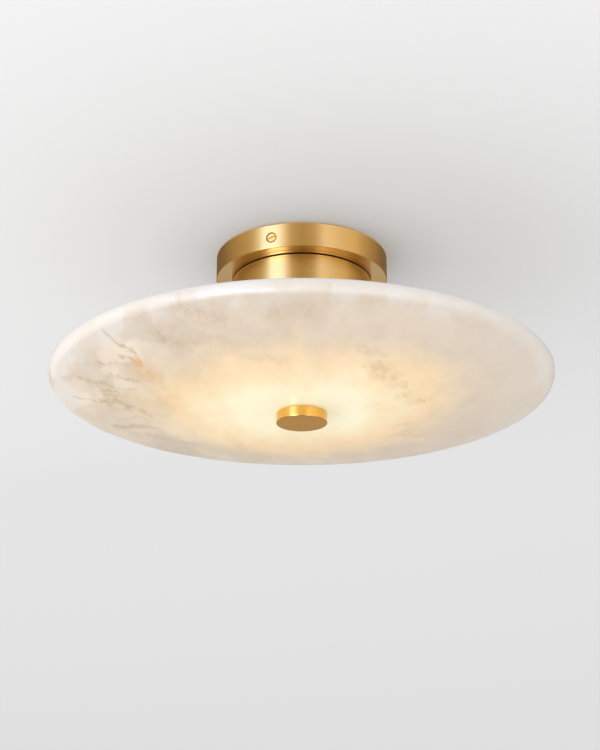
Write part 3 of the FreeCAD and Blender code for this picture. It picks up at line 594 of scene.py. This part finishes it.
dress(turned_brass, "canopy_screws", "earth_screw", "terminal_screws")
dress(zinc, "ceiling_plate", "plate_ears", "earth_washer", "neck_screws", "plate_screws", "rod_washers",
      "bracket_screws", "holder_screws")
dress(enamel, "lamp_plate", "upper_disc")
dress(rubber, "cable_bush", "lead_grommets")
dress(nylon, "terminal_block", "bowl_bush")
dress(felt, "upper_pad", "lower_pad")
dress(threaded_brass, "hanger_rod")
dress(plain_brass, "rod_nut_upper", "rod_nut_lower", "bowl_stop_nut")
for number in (1, 2, 3):
    dress(zinc, f"lamp_bracket_{number}")
    dress(steatite, f"lampholder_{number}")
    dress(nickel, f"lamp_pins_{number}")
    dress(lamp_plastic, f"lamp_base_{number}")
    dress(lamp_glass, f"lamp_bulb_{number}")
    dress(silicone, f"lamp_lead_{number}")


# ---- Ceiling, studio and camera ---------------------------------------------------------------

def ceiling_paint():
    """Matt white emulsion with a faint roller texture of 4 to 5 mm. Seen from above it isn't there."""
    mat, tree, shader = material("matt_ceiling_paint", Roughness=0.95, Specular_IOR_Level=0.0)
    place_of = add(tree, "TexCoord").outputs["Object"]
    roller = add(tree, "TexNoise", {"Vector": place_of, "Scale": 220.0, "Detail": 3.0}).outputs[0]
    # Painted light and shade: the ceiling is paler at the front, where the dish's shadow falls, and a
    # little greyer further back and to the right.
    across = add(tree, "VectorMath", {0: place_of, 1: (0.4, 1, 0)},
                 operation="DOT_PRODUCT").outputs["Value"]
    tone = add(tree, "MapRange", {0: across, 1: -0.5, 2: 3.5}).outputs[0]
    paint_and_painted_falloff = ramp(tree, tone, [(0.0, "#F7F7F7"), (0.2, "#EBEBEB"), (0.27, "#E7E7E7"), (1.0, "#E3E3E3")])
    # Painted shade: close round the canopy the ceiling is a shade darker and a little cooler, as the
    # canopy's shadow on it.
    away = add(tree, "VectorMath", {0: place_of}, operation="LENGTH").outputs["Value"]
    wear_and_painted_shade = add(tree, "MapRange", {0: away, 1: 0.08, 2: 0.15}).outputs[0]
    shade = ramp(tree, wear_and_painted_shade, [(0.0, "#E9EDF2"), (0.4, "#F6F8FB"), (1.0, "#FFFFFF")])
    tree.links.new(add(tree, "VectorMath", {0: paint_and_painted_falloff, 1: shade}, operation="MULTIPLY").outputs[0],
                   shader.inputs["Base Color"])
    bump = add(tree, "Bump", {"Height": roller, "Strength": 0.04, "Distance": 0.0003}).outputs[0]
    tree.links.new(bump, shader.inputs["Normal"])
    back = add(tree, "NewGeometry").outputs["Backfacing"]
    clear = add(tree, "BsdfTransparent").outputs[0]
    both = add(tree, "MixShader", {0: back, 1: shader.outputs[0], 2: clear}).outputs[0]
    tree.links.new(both, tree.nodes["Material Output"].inputs[0])
    return mat


deselect()
bpy.ops.mesh.primitive_plane_add(size=40, location=(0, 0, 0.0005), rotation=(math.pi, 0, 0))
ceiling = place("ceiling")
ceiling.data.materials.append(ceiling_paint())
# The light from above comes through, so that the part's top is lit in views from above.
ceiling.visible_shadow = False
ceiling.visible_diffuse = False

# The brass shows the sides of the room: two windows in cool daylight, and warm dark walls between them.
# Each row is a bearing from the front in degrees, to the right, and the red, green and blue light there.
# Light is brighter than a colour can be, so it is kept over DRAPE_LIGHT.
DRAPE_LIGHT, DRAPE_R, DRAPE_TALL, DRAPE_MIDDLE_Z = 4.0, 4.0, 19.0, -1.5
ROOM = [
    (-180, 0.14, 0.10, 0.05), (-136, 0.18, 0.13, 0.07), (-118, 0.25, 0.18, 0.09), (-93, 0.40, 0.33, 0.20),
    (-80, 0.47, 0.41, 0.29), (-68, 0.58, 0.54, 0.46), (-57, 0.95, 1.1, 1.5), (-50, 1.5, 2.1, 3.9),
    (-32, 1.5, 2.1, 3.9), (-24, 1.15, 1.3, 1.9), (-15, 0.60, 0.54, 0.50), (0, 0.40, 0.32, 0.2),
    (17, 0.58, 0.52, 0.46), (30, 1.1, 1.2, 1.6), (40, 1.05, 1.08, 1.3), (55, 0.90, 0.88, 0.92),
    (75, 0.84, 0.75, 0.6), (85, 0.60, 0.52, 0.38), (107, 0.36, 0.28, 0.15), (130, 0.22, 0.16, 0.09),
    (180, 0.14, 0.10, 0.05)]
FLOOR_LIGHT, HIGH_LIGHT = (0.48, 0.395, 0.265), (0.8, 0.76, 0.72)


def over_drape(light):
    """Light as a colour of the drape's material."""
    return [level / DRAPE_LIGHT for level in light] + [1.0]


deselect()
bpy.ops.mesh.primitive_cylinder_add(vertices=96, radius=DRAPE_R, depth=DRAPE_TALL, end_fill_type="NOTHING",
                                    location=(0, 0, DRAPE_MIDDLE_Z))
drape = place("studio_drape")
drape_cloth, tree, shader = material("studio_drape", Base_Color=(0, 0, 0, 1), Roughness=1.0,
                                     Emission_Strength=DRAPE_LIGHT)
spot = add(tree, "SeparateXYZ", {0: add(tree, "TexCoord").outputs["Object"]})
front = add(tree, "Math", {0: spot.outputs[1], 1: -1.0}, operation="MULTIPLY").outputs[0]
bearing_of = add(tree, "Math", {0: spot.outputs[0], 1: front}, operation="ARCTAN2").outputs[0]
share = add(tree, "MapRange", {0: bearing_of, 1: -math.pi, 2: math.pi}).outputs[0]
room = ramp(tree, share, [((b + 180) / 360, "#000000") for b, *light in ROOM])
for element, (b, *light) in zip(room.node.color_ramp.elements, ROOM):
    element.color = over_drape(light)
# Lower down the windows are brighter against the walls.
contrast = add(tree, "MapRange", {0: room, 1: 0.1, 2: 0.5, 3: 0.5, 4: 2.4}).outputs[0]
lowness = add(tree, "MapRange", {0: spot.outputs[2], 1: 1.0, 2: -1.2}).outputs[0]
gain = add(tree, "Mix", {0: lowness, 2: 1.0, 3: contrast}, data_type="FLOAT").outputs[0]
# Only the bevels see the lowest part, where the floor below the windows shines.
deep = add(tree, "MapRange", {0: spot.outputs[2], 1: -3.0, 2: -5.0, 3: 1.0, 4: 2.4}).outputs[0]
gain = add(tree, "Math", {0: gain, 1: deep}, operation="MULTIPLY").outputs[0]
room_light = add(tree, "VectorMath", {0: room, "Scale": gain}, operation="SCALE").outputs[0]
# High up it is the plain ceiling of the room beyond.
high = add(tree, "MapRange", {0: spot.outputs[2], 1: 2.3, 2: 2.8}).outputs[0]
room_light = add(tree, "Mix", {0: high, 6: room_light, 7: over_drape(HIGH_LIGHT)},
                 data_type="RGBA").outputs[2]
# Low at the back a pale floor shows in the undersides.
low = add(tree, "MapRange", {0: spot.outputs[2], 1: -0.4, 2: -1.2}).outputs[0]
behind = add(tree, "MapRange", {0: spot.outputs[1], 1: 1.0, 2: 3.0}).outputs[0]
floor_share = add(tree, "Math", {0: low, 1: behind}, operation="MULTIPLY").outputs[0]
seen_room = add(tree, "Mix", {0: floor_share, 6: room_light, 7: over_drape(FLOOR_LIGHT)},
                data_type="RGBA").outputs[2]
tree.links.new(seen_room, shader.inputs["Emission Color"])
drape.data.materials.append(drape_cloth)
# Only reflections see the drape, and they don't see the ceiling in front of it.
drape.visible_camera = drape.visible_diffuse = drape.visible_shadow = drape.visible_transmission = False
ceiling.visible_glossy = False


# A softbox in front of the left window gives the soft shadows on the ceiling.
window_bearing, window_distance = math.radians(-60), 3.0
deselect()
bpy.ops.object.light_add(type="AREA", rotation=(math.pi / 2, 0, window_bearing), location=(
    window_distance * math.sin(window_bearing), -window_distance * math.cos(window_bearing), -1.0))
window = bpy.context.object
window.name = "window_left"
window.data.shape = "RECTANGLE"
window.data.size = window.data.size_y = 1.6
window.data.energy = 10
window.visible_camera = window.visible_glossy = False

world = bpy.data.worlds.new("studio")
bpy.context.scene.world = world
world.use_nodes = True
sky = world.node_tree
background = sky.nodes["Background"]
direction = add(sky, "SeparateXYZ", {0: add(sky, "TexCoord").outputs["Generated"]})
steep = add(sky, "Math", {0: direction.outputs[2]}, operation="ABSOLUTE").outputs[0]
# Most of the light comes level, from windows all round, and a little more from the left and the back.
LEVEL_LIGHT, STEEP_LIGHT, LIGHT_FROM_ABOVE, BACKDROP_LIGHT = 2.4, 0.66, 0.7, 0.8
daylight = add(sky, "MapRange", {0: steep, 1: 0.05, 2: 0.7, 3: LEVEL_LIGHT, 4: STEEP_LIGHT}).outputs[0]
for axis, at_low, at_high in ((0, 1.25, 0.75), (1, 0.88, 1.12)):
    side = add(sky, "MapRange", {0: direction.outputs[axis], 1: -1.0, 2: 1.0,
                                 3: at_low, 4: at_high}).outputs[0]
    daylight = add(sky, "Math", {0: daylight, 1: side}, operation="MULTIPLY").outputs[0]
above = add(sky, "MapRange", {0: direction.outputs[2], 1: 0.0, 2: 0.05}).outputs[0]
daylight = add(sky, "Mix", {0: above, 2: daylight, 3: LIGHT_FROM_ABOVE}, data_type="FLOAT").outputs[0]
# The camera and reflections see an even backdrop.
path = add(sky, "LightPath")
seen = add(sky, "Math", {0: path.outputs["Is Camera Ray"], 1: path.outputs["Is Glossy Ray"]},
           operation="MAXIMUM").outputs[0]
seen = add(sky, "Math", {0: seen, 1: path.outputs["Is Transmission Ray"]}, operation="MAXIMUM").outputs[0]
strength = add(sky, "Mix", {0: seen, 2: daylight, 3: BACKDROP_LIGHT}, data_type="FLOAT").outputs[0]
sky.links.new(strength, background.inputs["Strength"])
background.inputs["Color"].default_value = (1.0, 1.0, 1.0, 1.0)

# The photograph looks up at the light from the front, about a metre and a half away.
CAMERA_UP = 20.73    # degrees
camera_data = bpy.data.cameras.new("camera")
camera_data.lens = 72
camera_data.sensor_width = 36
camera = bpy.data.objects.new("camera", camera_data)
bpy.context.scene.collection.objects.link(camera)
camera.location = (-0.00165, -1.3115, -0.615)
camera.rotation_euler = (math.radians(90 + CAMERA_UP), 0, 0)
bpy.context.scene.camera = camera
bpy.context.scene.view_settings.view_transform = "Standard"

deselect()
